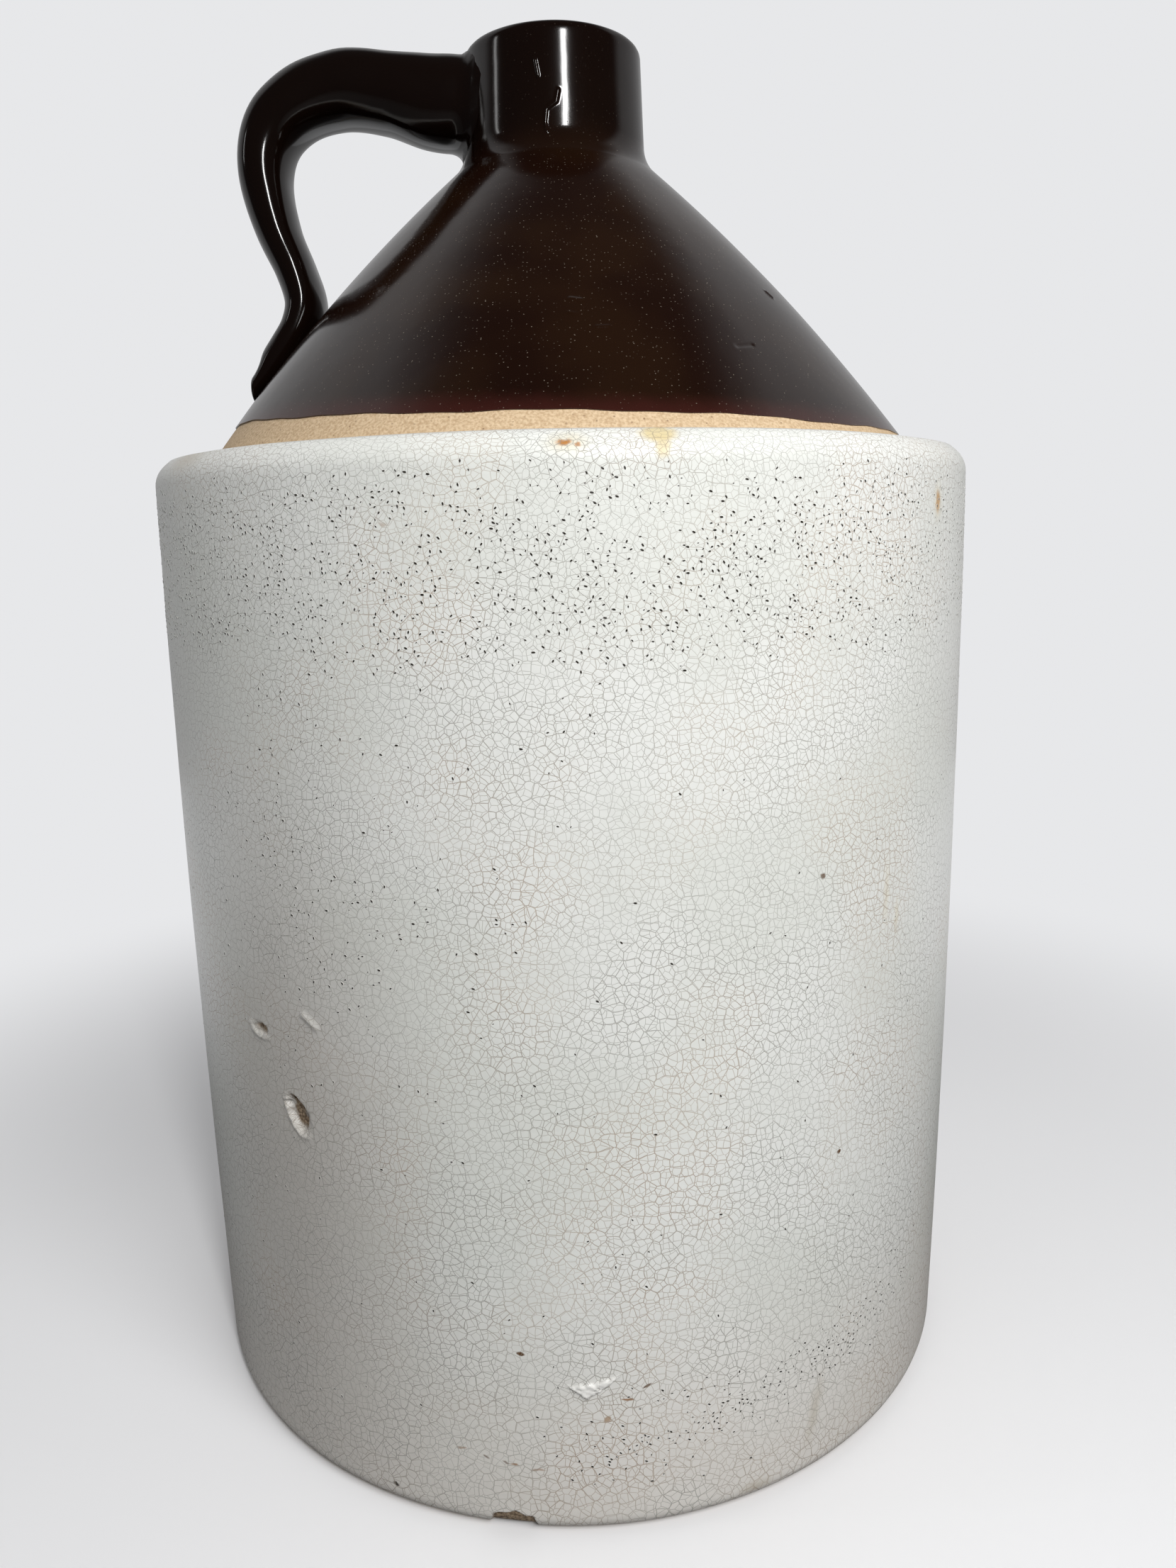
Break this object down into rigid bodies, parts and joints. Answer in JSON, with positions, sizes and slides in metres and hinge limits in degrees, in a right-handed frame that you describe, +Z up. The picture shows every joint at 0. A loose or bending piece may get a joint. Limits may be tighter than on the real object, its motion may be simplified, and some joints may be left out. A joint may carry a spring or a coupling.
{
  "type": "stoneware jug",
  "caption": "Stoneware shoulder jug with a white glazed crock body, a brown coned shoulder, a narrow cork mouth and a pulled strap handle, for storing and pouring liquid.",
  "frame": {"origin": "centre of the foot, on the surface that the jug stands on", "axes": "+Z up along the axis that the jug was turned on, out of the mouth; the handle stands out towards -X; -Y is the side that the picture shows"},
  "size_m": [0.2894, 0.2894, 0.4678],
  "materials": {
    "fired_clay": "bare buff stoneware, matte and speckled",
    "white_glaze": "glossy white glaze, crazed and pinholed",
    "brown_slip": "glossy dark brown slip glaze"
  },
  "bodies": {
    "root": {"crock_body": "fired_clay", "shoulder_cone": "fired_clay", "neck_collar": "fired_clay", "handle": "brown_slip", "body_glaze": "white_glaze", "shoulder_glaze": "brown_slip", "lining_glaze": "brown_slip"}
  },
  "joints": []
}
